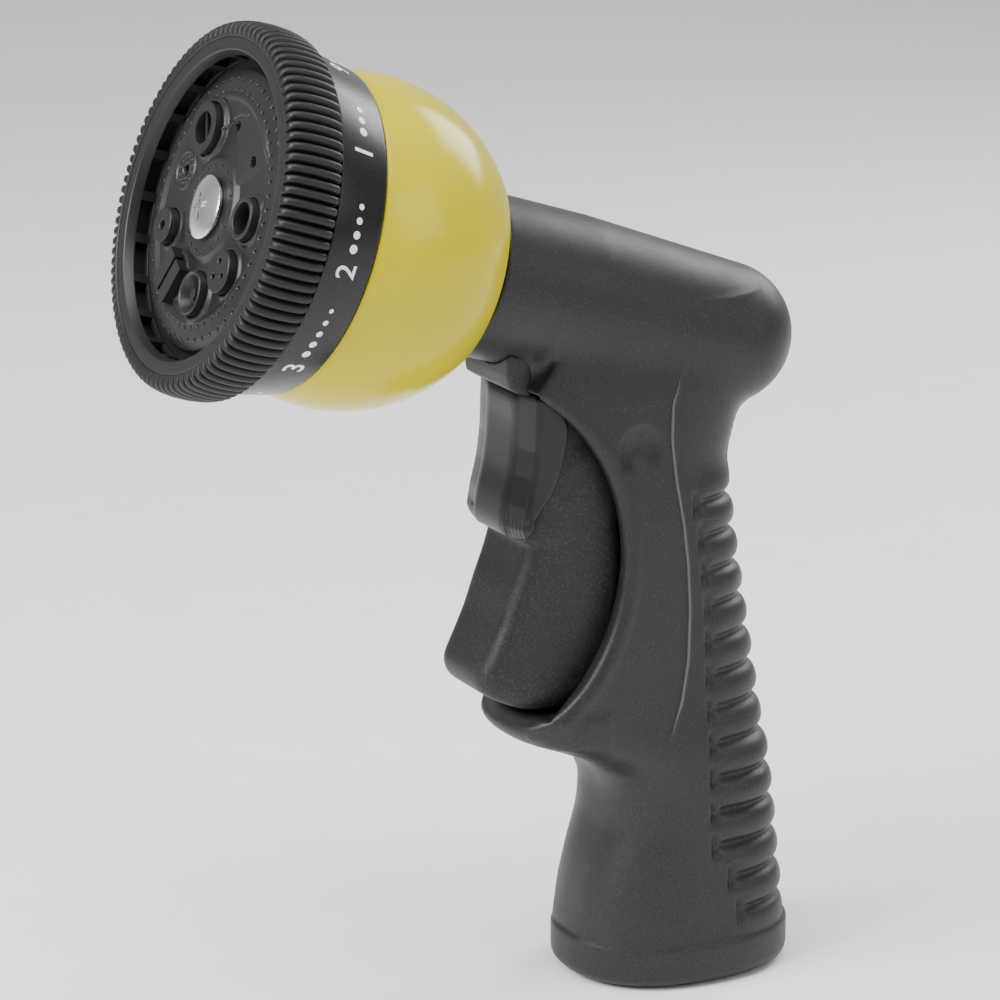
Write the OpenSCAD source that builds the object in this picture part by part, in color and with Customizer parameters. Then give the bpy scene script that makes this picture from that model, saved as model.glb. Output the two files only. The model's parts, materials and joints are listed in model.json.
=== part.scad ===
// Pistol-grip hose spray nozzle with a nine-pattern dial.
// Frame: origin at the centre of the hose inlet's bottom face, +Z up the handle,
// +X forward, the way the nozzle sprays, +Y to the left of a person holding it.

/* [Layout] */
// Upward tilt of the barrel from horizontal, in degrees
barrel_tilt = 18; // [17:0.5:19]
// Height at which the barrel axis crosses the handle axis
axis_height = 111.4; // [111:0.2:112]

/* [Dial] */
// Distance along the barrel axis to the front of the dial
head_front = 90; // [90:0.5:91]
// Number of spray patterns on the dial
pattern_count = 9; // [7:1:9]
// Radius of the circle that the spray outlets sit on
outlet_circle_r = 13.7; // [13.4:0.1:14]
// Radius of the recess in the dial's face
recess_r = 24.2; // [24:0.1:24.3]
// Outer radius of the ribbed grip sleeve
sleeve_r = 30; // [29.5:0.1:30.5]
// Number of ribs round the grip sleeve
rib_count = 104; // [60:4:120]
// Number of windows in the recess wall
window_count = 22; // [12:1:24]
// Angle of the first outlet in the dial's face, from +Y upward
first_outlet_angle = 3; // [0:1:39]

/* [Bell] */
// Outer radius of the yellow bell, a zone of a sphere
bell_r = 27.2; // [27:0.1:27.5]
// Wall thickness of the bell
bell_wall = 2.2; // [2:0.1:2.3]
// Distance along the barrel axis to the centre of the bell's sphere
bell_centre = 64; // [63.5:0.5:64]

/* [Handle] */
// Height of the collar round the hose inlet
collar_height = 7.2; // [6:0.2:8]
// Half length of the collar, front to back
collar_half_length = 20.4; // [20:0.1:21]
// Half width of the collar, side to side
collar_half_width = 16.9; // [16.6:0.1:17.5]
// Number of finger grooves down the back
groove_count = 13; // [0:1:13]

/* [Inlet] */
// Radius of the hose thread's bore (27 mm major diameter and clearance)
thread_r = 13.6; // [13.5:0.05:13.65]
// Depth of the threaded bore
thread_depth = 9.8; // [8:0.2:10]

/* [Trigger] */
// Half width of the trigger
trigger_half_width = 9; // [8.6:0.1:9.1]
// Radius of the trigger's hinge pin
pivot_pin_r = 2; // [1.6:0.1:2.2]
// Running clearance of pins in their bores
pin_gap = 0.05; // [0.03:0.01:0.1]

/* [Valve] */
// Height of the valve stem's axis
valve_height = 88; // [87.8:0.1:88.2]
// Radius of the valve stem in its guide
stem_r = 2; // [1.8:0.1:2.1]

/* [Hidden] */
$fn = 64;
eps = 0.01;

// trigger hinge, catch hinge and the scooped recess, as [x, z] in the side view
pivot = [22, 101];
catch_pivot = [28.9, 102.3];
scoop = [49.7, 76];
scoop_r = 33.5;

// core tubes
core_r = 9.2;
core_bore_r = 7.2;
core_back = -12;
core_front = 46;
feed_x = -1.5;
feed_r = 5.6;
feed_bore_r = 3.8;
riser_x = 3.5;
riser_r = 5;
bay_half = 11;
bay_gap_half = 9.5;
web_half = 4.8;

// barrel skin
barrel_front = 41.3;
barrel_front_r = 13.5;
barrel_back_r = 12.1;
barrel_dome_at = -9;

// bell and dial stations along the barrel axis
bell_back = 43.5;
bell_front = 71.3;
index_front = 70;
turret_back = 70.4;
turret_front = 85;
turret_r = 23.6;
sleeve_back = 80.8;
skirt_r = 25.2;
sleeve_inner_r = 27.2;
face_top = head_front - 1.7;
outlet_top = head_front - 0.8;
post_r = 3.6;
outlet_step = 360 / pattern_count;
port_angle = first_outlet_angle + 2 * outlet_step;
outlet_bore_r = 2.6;
ball_r = 1.5;
ball_circle_r = 19.5;

// valve stations along X
housing_r = 7.2;
housing_back = -6.1;
housing_front = 8;
chamber_r = 5.6;
chamber_back = -5.2;
poppet_back = 0.5;
poppet_front = 1.3;
seat_back = 2.1;
seat_front = 3;
guide_back = 5.6;
flange_front = 9;
stem_tip = 13.7;
tip_r = 2.6;
lug_face = 14;

insert_r = 14.6;
insert_bottom = 0.4;
washer_bottom = insert_bottom + thread_depth;
washer_top = washer_bottom + 2.4;
base_top = washer_top + 2.6;

// ---------- helpers ----------

// Put children on the barrel axis: local +Z points forward along it, local -X points up.
module on_barrel(station = 0) {
    translate([0, 0, axis_height]) rotate([0, 90 - barrel_tilt, 0])
        translate([0, 0, station]) children();
}

// A cylinder on the barrel axis between two stations
module barrel_rod(r, from, to) {
    on_barrel(from) cylinder(r = r, h = to - from);
}

// A ring on the barrel axis between two stations
module barrel_ring(outer_r, inner_r, from, to) {
    on_barrel(from) difference() {
        cylinder(r = outer_r, h = to - from);
        translate([0, 0, -1]) cylinder(r = inner_r, h = to - from + 2);
    }
}

// Put children at one place on the dial: angle from +Y upward, local +Z forward.
module on_dial(angle, radius, station) {
    on_barrel(station) rotate([0, 0, angle + 90]) translate([radius, 0, 0]) children();
}

// Extrude an outline drawn in the side view, as [x, z], to a half width each way along Y
module side_slab(half) {
    translate([0, half, 0]) rotate([90, 0, 0]) linear_extrude(2 * half) children();
}

// A rod across the nozzle at an [x, z] place
module cross_rod(at, r, half) {
    translate([at[0], half, at[1]]) rotate([90, 0, 0]) cylinder(r = r, h = 2 * half);
}

// A rod along X on the valve's axis
module valve_rod(r, from, to) {
    translate([from, 0, valve_height]) rotate([0, 90, 0]) cylinder(r = r, h = to - from);
}

// A ring of round section about local Z
module round_ring(ring_r, section_r) {
    rotate_extrude() translate([ring_r, 0]) circle(r = section_r, $fn = 24);
}

// Solid through a list of closed rings of equal point count
module skin(rings) {
    n = len(rings[0]);
    last = len(rings) - 1;
    polyhedron(
        points = [for (ring = rings) for (p = ring) p],
        faces = concat(
            [[for (i = [0:n - 1]) i]],
            [for (k = [0:last - 1]) for (i = [0:n - 1])
                [k * n + i, (k + 1) * n + i, (k + 1) * n + (i + 1) % n, k * n + (i + 1) % n]],
            [[for (i = [n - 1:-1:0]) last * n + i]]
        ),
        convexity = 6
    );
}

// Coil spring of round wire along local Z
module coil(coil_r, wire_r, length, turns) {
    steps = round(turns * 14);
    skin([for (k = [0:steps]) let (
            a = 360 * turns * k / steps,
            z = wire_r + (length - 2 * wire_r) * k / steps)
        [for (j = [0:7]) let (b = -45 * j, r = coil_r + wire_r * cos(b))
            [r * cos(a), r * sin(a), z + wire_r * sin(b)]]]);
}

// ---------- grip ----------

// Rounded section of the handle: a superellipse between back and front, tilted with the barrel
function handle_ring(z, back, front, half, tilt = 0, power = 3) = let (
        mid = (back + front) / 2,
        reach = (front - back) / 2)
    [for (i = [0:35]) let (
            a = 10 * i + 5,
            c = cos(a),
            s = sin(a),
            x = mid + reach * sign(c) * pow(abs(c), 2 / power))
        [x, half * sign(s) * pow(abs(s), 2 / power), z + tilt * x]];

// Collar rows, from the rounded lower edge to the step: [height, inset]
collar_rows = [[0, 2.4], [0.7, 1.1], [2.2, 0.2], [collar_height - 0.5, 0], [collar_height, 0.6]];

// Handle rows: [height, back, front, half width, tilt]
handle_rows = [
    [collar_height + 0.2, -19.0, 19.6, 16.2, 0], [14, -18.2, 18.8, 15.9, 0],
    [20, -17.4, 17.2, 15.4, 0], [27, -16.5, 14.8, 15.0, 0], [33, -15.6, 14.3, 14.8, 0],
    [37, -15.1, 16.5, 14.7, 0], [40, -14.7, 20.5, 14.6, 0], [42.5, -14.3, 26.5, 14.4, 0],
    [45, -14.0, 30.2, 14.2, 0], [48, -13.6, 32.2, 14.0, 0], [55, -12.5, 30.0, 13.8, 0],
    [64, -11.0, 28.0, 13.6, 0], [74, -9.3, 27.0, 13.4, 0], [84, -7.9, 28.0, 13.2, 0],
    [89, -7.7, 29.6, 13.0, 0.02], [94, -8.8, 30.1, 12.9, 0.06], [99.5, -11.5, 30.1, 12.7, 0.14],
    [105, -13.5, 30.1, 12.4, 0.24], [110.8, -12.0, 30.1, 11.5, 0.32]
];

module handle_form() {
    skin(concat(
        [for (row = collar_rows) handle_ring(row[0], row[1] - collar_half_length,
            collar_half_length - row[1], collar_half_width - row[1], 0, 2.3)],
        [for (row = handle_rows) handle_ring(row[0], row[1], row[2], row[3], row[4])]
    ));
}

module barrel_form() {
    on_barrel() {
        translate([0, 0, barrel_dome_at]) sphere(r = barrel_back_r);
        rotate_extrude() polygon([
            [0, barrel_dome_at], [barrel_back_r, barrel_dome_at],
            [barrel_front_r, 22], [barrel_front_r, barrel_front], [0, barrel_front]
        ]);
    }
}

// Outline of the trigger bay's outside, in the side view
module bay_outline() {
    intersection() {
        translate(pivot) circle(r = 54.5, $fn = 160);
        polygon([[3.7, 45], [32, 45], [32, 60], [28, 104.8], [18, 104.8], [12, 98], [3.7, 98]]);
    }
}

// Outline of the hollow in the jacket that the bay sits in
module bay_hollow() {
    intersection() {
        translate(pivot) circle(r = 54.5, $fn = 160);
        polygon([[3.7, 45], [40, 45], [40, 104.8], [18, 104.8], [12, 98], [3.7, 98]]);
    }
}

// Outline of the space that the trigger swings in
module bay_space() {
    intersection() {
        translate(pivot) circle(r = 52.2, $fn = 160);
        polygon([
            [5.2, 46], [34, 46], [40, 60], [40, 100], [29, 104.95], [17.5, 104.95],
            [13.5, 100], [9.3, 96], [9.3, 81.5], [5.2, 77.5]
        ]);
    }
}

// Web between the trigger's hinge and the barrel
module web_outline() {
    polygon([[19, 104.7], [30.4, 104.7], [30.4, 118], [19, 114]]);
}

// Spaces in the jacket that the core fills
module core_space() {
    barrel_rod(core_r, core_back, core_front);
    side_slab(bay_half) bay_hollow();
    side_slab(web_half) web_outline();
    translate([feed_x, 0, washer_bottom]) cylinder(r = feed_r, h = valve_height - washer_bottom);
    translate([riser_x, 0, valve_height]) cylinder(r = riser_r, h = 24);
    valve_rod(housing_r, housing_back, flange_front + 2);
    translate([0, 0, -1]) cylinder(r = insert_r, h = base_top + 1);
}

module grip_jacket() {
    color([0.24, 0.25, 0.26]) difference() {
        union() {
            barrel_form();
            handle_form();
        }
        core_space();
        side_slab(20) translate(scoop) circle(r = scoop_r, $fn = 120);
        for (side = [-1, 1]) translate([13.2, side * 19.2, 94.1]) sphere(r = 7.5);
        if (groove_count > 0) for (i = [0:groove_count - 1])
            let (z = 83 - 5.95 * i, back = lookup(z, [for (r = handle_rows) [r[0], r[1]]]))
                cross_rod([back - 0.35, z], 0.9, 12);
    }
}

module core_body() {
    color([0.27, 0.28, 0.27]) difference() {
        union() {
            barrel_rod(core_r, core_back, core_front);
            side_slab(bay_half) difference() {
                bay_outline();
                translate(scoop) circle(r = scoop_r + 0.7, $fn = 120);
                translate(catch_pivot) circle(r = 6.2);
            }
            side_slab(bay_gap_half) bay_outline();
            side_slab(web_half) web_outline();
            translate([feed_x, 0, washer_top]) cylinder(r = feed_r, h = valve_height - washer_top);
            translate([riser_x, 0, valve_height]) cylinder(r = riser_r, h = 20);
            valve_rod(housing_r, housing_back, housing_front);
            translate([0, 0, washer_top]) cylinder(r = insert_r, h = base_top - washer_top);
        }
        // trigger bay, hinge pin and waterways
        side_slab(bay_gap_half) bay_space();
        cross_rod(pivot, pivot_pin_r, 10.6);
        barrel_rod(core_bore_r, core_back + 3, core_front + 1);
        translate([feed_x, 0, washer_top - 1]) cylinder(r = feed_bore_r, h = 64);
        translate([feed_x, 0, 70]) cylinder(r = 2, h = 14);
        valve_rod(chamber_r, chamber_back, 30);
        valve_rod(6.6, housing_front, 30);
        translate([riser_x + 0.8, 0, valve_height]) cylinder(r = 1.25, h = 14);
        translate([riser_x, 0, valve_height + 9]) cylinder(r = 3.2, h = 12);
    }
}

module front_cap() {
    color([0.29, 0.30, 0.29]) difference() {
        side_slab(8) polygon([
            [30.5, 104.7], [33.4, 105.2], [34.4, 106.2], [34.4, 112], [30.5, 112]
        ]);
        barrel_rod(barrel_front_r + 0.1, 10, 60);
    }
}

// ---------- inlet ----------

module inlet_insert() {
    color([0.55, 0.55, 0.53]) translate([0, 0, insert_bottom]) difference() {
        cylinder(r = insert_r, h = washer_top - insert_bottom);
        translate([0, 0, -1]) cylinder(r = thread_r, h = thread_depth + 1);
        translate([0, 0, thread_depth - 1]) cylinder(r = thread_r - 0.4, h = 5);
    }
}

module hose_washer() {
    color([0.08, 0.08, 0.08]) translate([0, 0, washer_bottom]) difference() {
        cylinder(r = thread_r - 0.4, h = washer_top - washer_bottom);
        translate([0, 0, -1]) cylinder(r = 7.5, h = 5);
    }
}

// ---------- valve ----------

module valve_seat() {
    color([0.80, 0.78, 0.72]) difference() {
        valve_rod(chamber_r, seat_back, seat_front);
        valve_rod(3, seat_back - 1, seat_front + 1);
    }
}

module valve_guide() {
    color([0.75, 0.62, 0.30]) difference() {
        union() {
            valve_rod(chamber_r, guide_back, housing_front);
            valve_rod(6.6, housing_front, flange_front);
        }
        valve_rod(stem_r + pin_gap, guide_back - 1, flange_front + 1);
        valve_rod(3.7, guide_back + 0.5, guide_back + 2.1);
    }
}

module guide_oring() {
    color([0.06, 0.06, 0.06]) translate([guide_back + 1.3, 0, valve_height]) rotate([0, 90, 0])
        round_ring(stem_r + pin_gap + 0.77, 0.75);
}

module valve_stem() {
    color([0.78, 0.79, 0.80]) translate([0, 0, valve_height]) rotate([0, 90, 0]) rotate_extrude()
        polygon(concat(
            [[0, poppet_back], [3.9, poppet_back], [3.9, poppet_front], [1.3, poppet_front], [1.3, 4.4],
                [stem_r, 4.4]],
            [for (a = [40:10:90]) [stem_r * cos(a) / cos(40), stem_tip - tip_r + tip_r * sin(a)]]
        ));
}

module poppet_seal() {
    color([0.10, 0.10, 0.10]) difference() {
        valve_rod(3.9, poppet_front, seat_back - 0.05);
        valve_rod(1.3, 0, 3);
    }
}

module valve_spring() {
    color([0.72, 0.73, 0.75]) translate([chamber_back, 0, valve_height]) rotate([0, 90, 0])
        coil(3, 0.25, poppet_back - chamber_back, 3.5);
}

// ---------- trigger ----------

module trigger_pin() {
    color([0.75, 0.75, 0.76]) cross_rod(pivot, pivot_pin_r, 10.6);
}

// Upper block of the trigger, under the catch
module trigger_head_outline() {
    hull() {
        translate(pivot) circle(r = 3.4);
        translate([28.6, 102.2]) circle(r = 1.7);
        polygon([[15.2, 90], [30.2, 92], [31, 79], [14.3, 80]]);
    }
}

// Finger belly of the trigger, ending in an arc about the hinge
module trigger_belly_outline() {
    intersection() {
        translate(pivot) circle(r = 51, $fn = 160);
        hull() {
            translate([36.6, 57.4]) circle(r = 3.4);
            polygon([
                [31, 81], [33.3, 72.5], [36, 52], [30, 49], [18, 50], [15.6, 55], [14.3, 62], [13.6, 70],
                [13.6, 76], [14.3, 81]
            ]);
        }
    }
}

// A block with softened side edges: full outline in the middle, drawn in at the sides
module soft_slab(half) {
    hull() {
        side_slab(half - 3) children();
        side_slab(half) offset(delta = -2.6) children();
    }
}

module trigger_lever() {
    color([0.30, 0.31, 0.30]) difference() {
        union() {
            soft_slab(trigger_half_width) trigger_head_outline();
            soft_slab(trigger_half_width) trigger_belly_outline();
            side_slab(3) polygon([[lug_face, 83], [20, 80], [20, 95], [lug_face, 93]]);
        }
        // hollow back, either side of the lug and below it
        for (side = [-1, 1]) translate([0, side * 5, 0])
            side_slab(1.8) polygon([[10, 54], [31, 55], [32, 60], [27, 78], [25, 92], [10, 90]]);
        translate([0, 0, 0]) side_slab(3.3) polygon([[10, 54], [31, 55], [32, 60], [27, 78], [10, 78]]);
        cross_rod(pivot, pivot_pin_r + pin_gap, 20);
        cross_rod(catch_pivot, 1, 20);
    }
}

module catch_pin() {
    color([0.75, 0.75, 0.76]) cross_rod(catch_pivot, 1, 10);
}

// Finger pad and cheeks of the hold-open catch, in the side view
module catch_outline() {
    polygon([
        [29.6, 103.9], [31.8, 104.1], [32.6, 103.2], [32.4, 99.5], [32.7, 95.5], [33.5, 90.5],
        [34.6, 85.8], [34.9, 82.4], [34.2, 80.7], [33.0, 80.5], [31.6, 83.4], [29.4, 85.9],
        [27.4, 89.4], [26.3, 93.9], [25.8, 97.5], [27.2, 101.6]
    ]);
}

module hold_catch() {
    color([0.13, 0.13, 0.14]) difference() {
        hull_free_catch();
        // room for the trigger between the cheeks
        side_slab(trigger_half_width + 0.3) polygon([
            [20, 106], [30.8, 106], [30.8, 92], [31.6, 80], [31.6, 75], [20, 75]
        ]);
        cross_rod(catch_pivot, 1 + pin_gap, 10.05);
    }
}

// Catch body, narrower at the pad than at the cheeks
module hull_free_catch() {
    intersection() {
        side_slab(10.6) catch_outline();
        linear_extrude(120) polygon([
            [20, -10.6], [28.8, -10.6], [33, -8], [37, -5.5], [37, 5.5], [33, 8], [28.8, 10.6], [20, 10.6]
        ]);
    }
}

// ---------- bell ----------

module barrel_collar() {
    color([0.16, 0.16, 0.17]) barrel_ring(14.3, core_r, barrel_front, bell_back);
}

module bell_housing() {
    color([0.93, 0.86, 0.10]) difference() {
        union() {
            difference() {
                intersection() {
                    on_barrel(bell_centre) sphere(r = bell_r, $fn = 128);
                    barrel_rod(40, bell_back, bell_front);
                }
                on_barrel(bell_centre) sphere(r = bell_r - bell_wall, $fn = 128);
            }
            barrel_rod(16.5, bell_back, bell_back + 2.5);
        }
        barrel_rod(core_r, bell_back - 1, core_front + 1);
    }
}

module bell_retainer() {
    color([0.60, 0.60, 0.58]) barrel_ring(13, core_r, bell_back + 2.5, bell_back + 6);
}

// ---------- index plate, behind the dial ----------

module index_plate() {
    color([0.70, 0.70, 0.68]) difference() {
        union() {
            barrel_rod(24, 66, index_front);
            barrel_rod(22, 62, 66 + eps);
            barrel_rod(core_bore_r - 0.02, 40, 62 + eps);
            barrel_rod(post_r, index_front - eps, face_top);
        }
        barrel_rod(4.2, 39, 66.5);
        // channel out to the port, the port and its seal's pocket
        on_barrel(65) rotate([0, 0, port_angle + 90]) rotate([0, 90, 0])
            cylinder(r = 2.2, h = outlet_circle_r);
        on_dial(port_angle, outlet_circle_r, 65) cylinder(r = outlet_bore_r, h = 10);
        on_dial(port_angle, outlet_circle_r, index_front - 1.5) cylinder(r = 3.8, h = 5);
        // detent pocket, screw hole and O-ring groove
        on_dial(port_angle + 180, ball_circle_r, 63) cylinder(r = ball_r + pin_gap, h = 10);
        barrel_rod(1.7, 74, 95);
        barrel_ring(9, 5.4, 42, 43.9);
    }
}

module index_oring() {
    color([0.06, 0.06, 0.06]) on_barrel(42.95) round_ring(6.3, 0.85);
}

module port_seal() {
    color([0.10, 0.10, 0.10]) on_dial(port_angle, outlet_circle_r, index_front - 1.5) difference() {
        cylinder(r = 3.8, h = 1.75);
        translate([0, 0, -1]) cylinder(r = outlet_bore_r, h = 5);
    }
}

module detent_ball() {
    color([0.80, 0.80, 0.82]) on_dial(port_angle + 180, ball_circle_r, index_front + 0.25 - ball_r)
        sphere(r = ball_r);
}

module detent_spring() {
    color([0.72, 0.73, 0.75]) on_dial(port_angle + 180, ball_circle_r, 63)
        coil(1.1, 0.2, index_front + 0.2 - 2 * ball_r - 63, 5);
}

module centre_screw() {
    color([0.80, 0.81, 0.82]) difference() {
        union() {
            barrel_rod(1.7, 76, face_top + 0.5);
            intersection() {
                barrel_rod(5.1, face_top + 0.45, head_front);
                on_barrel(head_front - 14) sphere(r = 14, $fn = 128);
            }
        }
        // cross slot
        for (turn = [20, 110]) on_barrel(head_front - 0.9) rotate([0, 0, turn])
            translate([-2.2, -0.45, 0]) cube([4.4, 0.9, 3]);
    }
}

module screw_washer() {
    color([0.65, 0.66, 0.67]) barrel_ring(4.6, 1.7, face_top, face_top + 0.45);
}

// ---------- dial ----------

module dial_ring() {
    color([0.20, 0.20, 0.21]) difference() {
        on_barrel() rotate_extrude($fn = 128) polygon([
            [turret_r, 71.7], [skirt_r, 71.7], [skirt_r, sleeve_back], [sleeve_inner_r, sleeve_back],
            [sleeve_inner_r, head_front], [recess_r + 0.3, head_front], [recess_r, head_front - 0.3],
            [recess_r, turret_front], [turret_r, turret_front]
        ]);
        for (i = [0:window_count - 1])
            on_dial(360 * i / window_count, recess_r - 1, head_front - 4)
                translate([0, -2.75, 0]) cube([2.4, 5.5, 2.2]);
    }
}

module rib_sleeve() {
    color([0.09, 0.09, 0.09]) on_barrel(sleeve_back) linear_extrude(head_front + 0.2 - sleeve_back)
        difference() {
            polygon([for (i = [0:4 * rib_count - 1]) let (
                    a = 90 * i / rib_count,
                    r = sleeve_r - (i % 4 < 2 ? 0 : 0.7))
                [r * cos(a), r * sin(a)]]);
            circle(r = sleeve_inner_r, $fn = 128);
        }
}

module pattern_band() {
    color([0.05, 0.05, 0.05]) on_barrel() rotate_extrude($fn = 128) polygon([
        [skirt_r, bell_front + 0.4], [26.5, bell_front + 0.4], [28.3, sleeve_back - 0.2],
        [skirt_r, sleeve_back - 0.2]
    ]);
}

module turret_body() {
    color([0.45, 0.45, 0.44]) difference() {
        barrel_rod(turret_r, turret_back, turret_front);
        difference() {
            barrel_ring(21.6, 7, turret_back + 3, turret_front - 3);
            for (i = [0:pattern_count - 1])
                on_dial(first_outlet_angle - i * outlet_step, outlet_circle_r, turret_back)
                    cylinder(r = 4, h = turret_front - turret_back);
        }
        for (i = [0:pattern_count - 1]) {
            on_dial(first_outlet_angle - i * outlet_step, outlet_circle_r, turret_back - 1)
                cylinder(r = outlet_bore_r, h = turret_front - turret_back + 2);
            on_dial(port_angle + 180 + i * outlet_step, ball_circle_r, turret_back - 1)
                cylinder(r = 1.2, h = 1.8);
        }
        barrel_rod(post_r + pin_gap, turret_back - 1, turret_front + 1);
    }
}

module face_plate() {
    color([0.22, 0.22, 0.23]) difference() {
        on_barrel() rotate_extrude($fn = 128) polygon([
            [post_r + pin_gap, turret_front], [recess_r, turret_front], [recess_r, 85.6], [22.6, 85.9],
            [22, 86.9], [18.2, 87.8], [17.4, 87.3], [8.6, 87.3], [7.8, face_top - 0.1],
            [post_r + pin_gap, face_top - 0.1]
        ]);
        // seats of the separate outlets
        outlet_hole(0, 3.4);
        outlet_hole(1, 3.5);
        outlet_hole(2, 3.6);
        outlet_hole(3, 2.9);
        outlet_hole(4, 2.9);
        outlet_hole(5, 0.8);
        outlet_hole(6, 3.4);
        outlet_hole(7, 0.8);
        outlet_hole(8, 0.8);
    }
}

// Hole through the face plate at one outlet's place
module outlet_hole(place, r) {
    at_outlet(place) translate([0, 0, -1]) cylinder(r = r, h = 8);
}

// Put children at one outlet's place, on the turret's front
module at_outlet(place) {
    on_dial(first_outlet_angle - place * outlet_step, outlet_circle_r, turret_front) children();
}

outlet_h = outlet_top - turret_front;

module jet_tube() {
    color([0.17, 0.17, 0.18]) at_outlet(0) difference() {
        cylinder(r = 3.4, h = outlet_h);
        translate([0, 0, -1]) cylinder(r = outlet_bore_r, h = 8);
    }
}

module shower_disc() {
    color([0.20, 0.20, 0.21]) at_outlet(1) difference() {
        cylinder(r = 3.5, h = outlet_h);
        for (i = [0:2]) rotate([0, 0, 120 * i + 20]) translate([1.6, 0, -1]) cylinder(r = 0.5, h = 8);
    }
}

module cone_cup() {
    color([0.18, 0.18, 0.19]) at_outlet(2) difference() {
        cylinder(r = 3.6, h = outlet_h);
        translate([0, 0, -1]) cylinder(r = 1.8, h = 8);
        translate([0, 0, 1.2]) cylinder(r1 = 1.6, r2 = 3.1, h = outlet_h - 1.2 + eps);
    }
}

module cone_pin() {
    color([0.30, 0.30, 0.31]) at_outlet(2) {
        cylinder(r = 0.9, h = outlet_h - 0.8);
        difference() {
            cylinder(r = 1.8, h = 0.6);
            translate([1.3, 0, -1]) cylinder(r = 0.35, h = 3);
            translate([-1.3, 0, -1]) cylinder(r = 0.35, h = 3);
        }
    }
}

module fan_block() {
    color([0.19, 0.19, 0.20]) at_outlet(3) difference() {
        union() {
            cylinder(r = 2.9, h = 3);
            translate([-3.4, -3, 2.4]) cube([6.8, 6, outlet_h - 2.4]);
        }
        translate([0, 0, -1]) cylinder(r = 1.6, h = 4);
        translate([-5, -0.35, 2.6]) cube([10, 0.7, 4]);
    }
}

module mist_boss() {
    color([0.20, 0.20, 0.21]) at_outlet(4) difference() {
        cylinder(r = 2.9, h = outlet_h);
        translate([0, 0, -1]) cylinder(r = 0.8, h = 8);
    }
}

module flood_boss() {
    color([0.21, 0.21, 0.22]) at_outlet(6) difference() {
        union() {
            cylinder(r = 3.4, h = outlet_h);
            translate([0, 0, 2.4]) cylinder(r = 4.2, h = outlet_h - 2.4);
        }
        difference() {
            translate([0, 0, -1]) cylinder(r = outlet_bore_r, h = 8);
            translate([-4, -0.3, 1]) cube([8, 0.6, 2.6]);
        }
    }
}

grip_jacket();
core_body();
front_cap();
inlet_insert();
hose_washer();
trigger_pin();
valve_seat();
valve_guide();
guide_oring();
barrel_collar();
bell_housing();
bell_retainer();
index_plate();
index_oring();
port_seal();
detent_ball();
detent_spring();
centre_screw();
screw_washer();
dial_ring();
rib_sleeve();
pattern_band();
turret_body();
face_plate();
jet_tube();
shower_disc();
cone_cup();
cone_pin();
fan_block();
mist_boss();
flood_boss();
trigger_lever();
catch_pin();
hold_catch();
valve_stem();
poppet_seal();
valve_spring();
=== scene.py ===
import json
import math

import bpy
import numpy as np
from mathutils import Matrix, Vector


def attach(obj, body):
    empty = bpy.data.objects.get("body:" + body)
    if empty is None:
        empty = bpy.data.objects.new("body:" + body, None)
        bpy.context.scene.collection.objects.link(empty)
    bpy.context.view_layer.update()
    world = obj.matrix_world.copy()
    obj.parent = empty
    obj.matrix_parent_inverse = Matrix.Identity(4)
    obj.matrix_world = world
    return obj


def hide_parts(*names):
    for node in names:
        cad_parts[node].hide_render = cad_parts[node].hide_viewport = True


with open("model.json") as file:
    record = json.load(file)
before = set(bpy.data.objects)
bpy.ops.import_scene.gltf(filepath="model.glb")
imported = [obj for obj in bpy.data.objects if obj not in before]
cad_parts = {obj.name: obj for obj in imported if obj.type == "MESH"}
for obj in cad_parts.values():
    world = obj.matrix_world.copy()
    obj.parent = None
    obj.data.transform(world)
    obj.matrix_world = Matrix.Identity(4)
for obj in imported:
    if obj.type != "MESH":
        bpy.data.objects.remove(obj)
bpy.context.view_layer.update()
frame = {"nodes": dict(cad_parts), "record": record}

MM = 0.001

# ---------- driving dimensions, in millimetres, in the CAD frame ----------

BARREL_TILT = math.radians(18)
AXIS_HEIGHT = 111.4
PIVOT = (22.0, 101.0)
CATCH_PIVOT = (28.9, 102.3)
SCOOP = (49.7, 76.0)
SCOOP_R = 33.5
FACE_R = 24.2
FIRST_OUTLET = 3.0
PATTERNS = 9
OUTLET_CIRCLE = 13.7
COLLAR_TOP = 7.2
FEED_X = -1.5
RISER_X = 3.5
VALVE_HEIGHT = 88.0
BARREL_BACK = -9.0
BARREL_END = 41.3
BARREL_BACK_R = 12.1
BARREL_R = 13.5
TRIGGER_SWEEP = 52.2
BAY_HALF = 9.5
BAY_BACK = 5.2
BAY_UPPER_BACK = 9.3
BAY_STEP = 78.0
BAND_BACK = 71.7
BAND_BACK_R = 26.5
BAND_FRONT_R = 28.15
BAND_SLOPE_LENGTH = 8.8
BAND_MEAN_R = 27.3
PLATE_BACK = 85.1
WINDOWS = 22
CAMERA_AZIMUTH = math.radians(62.5)

AXIS = np.array([math.cos(BARREL_TILT), 0, math.sin(BARREL_TILT)])
AXIS_UP = np.array([-math.sin(BARREL_TILT), 0, math.cos(BARREL_TILT)])
AXIS_FOOT = np.array([0, 0, AXIS_HEIGHT])

nodes = frame["nodes"]


# ---------- distance fields and the mesh of their zero surface ----------

def smin(a, b, k):
    """Union with a fillet about k wide."""
    h = np.clip(0.5 + 0.5 * (b - a) / k, 0, 1)
    return b * (1 - h) + a * h - k * h * (1 - h)


def smax(a, b, k):
    """Intersection with its edge rounded over about k."""
    return -smin(-a, -b, k)


def cut(a, b, k=0.3):
    """a without b, with the edge rounded over about k."""
    return smax(a, -b, k)


def rod(a, b, radius):
    """A round bar: a and b are the distances across it."""
    return np.sqrt(a ** 2 + b ** 2) - radius


def slab(q, low, high):
    """The space between two values of one coordinate."""
    return np.maximum(low - q, q - high)


def pivot_rod(x, z, pivot, radius):
    """A round bar that runs from side to side through a pivot."""
    return rod(x - pivot[0], z - pivot[1], radius)


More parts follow.
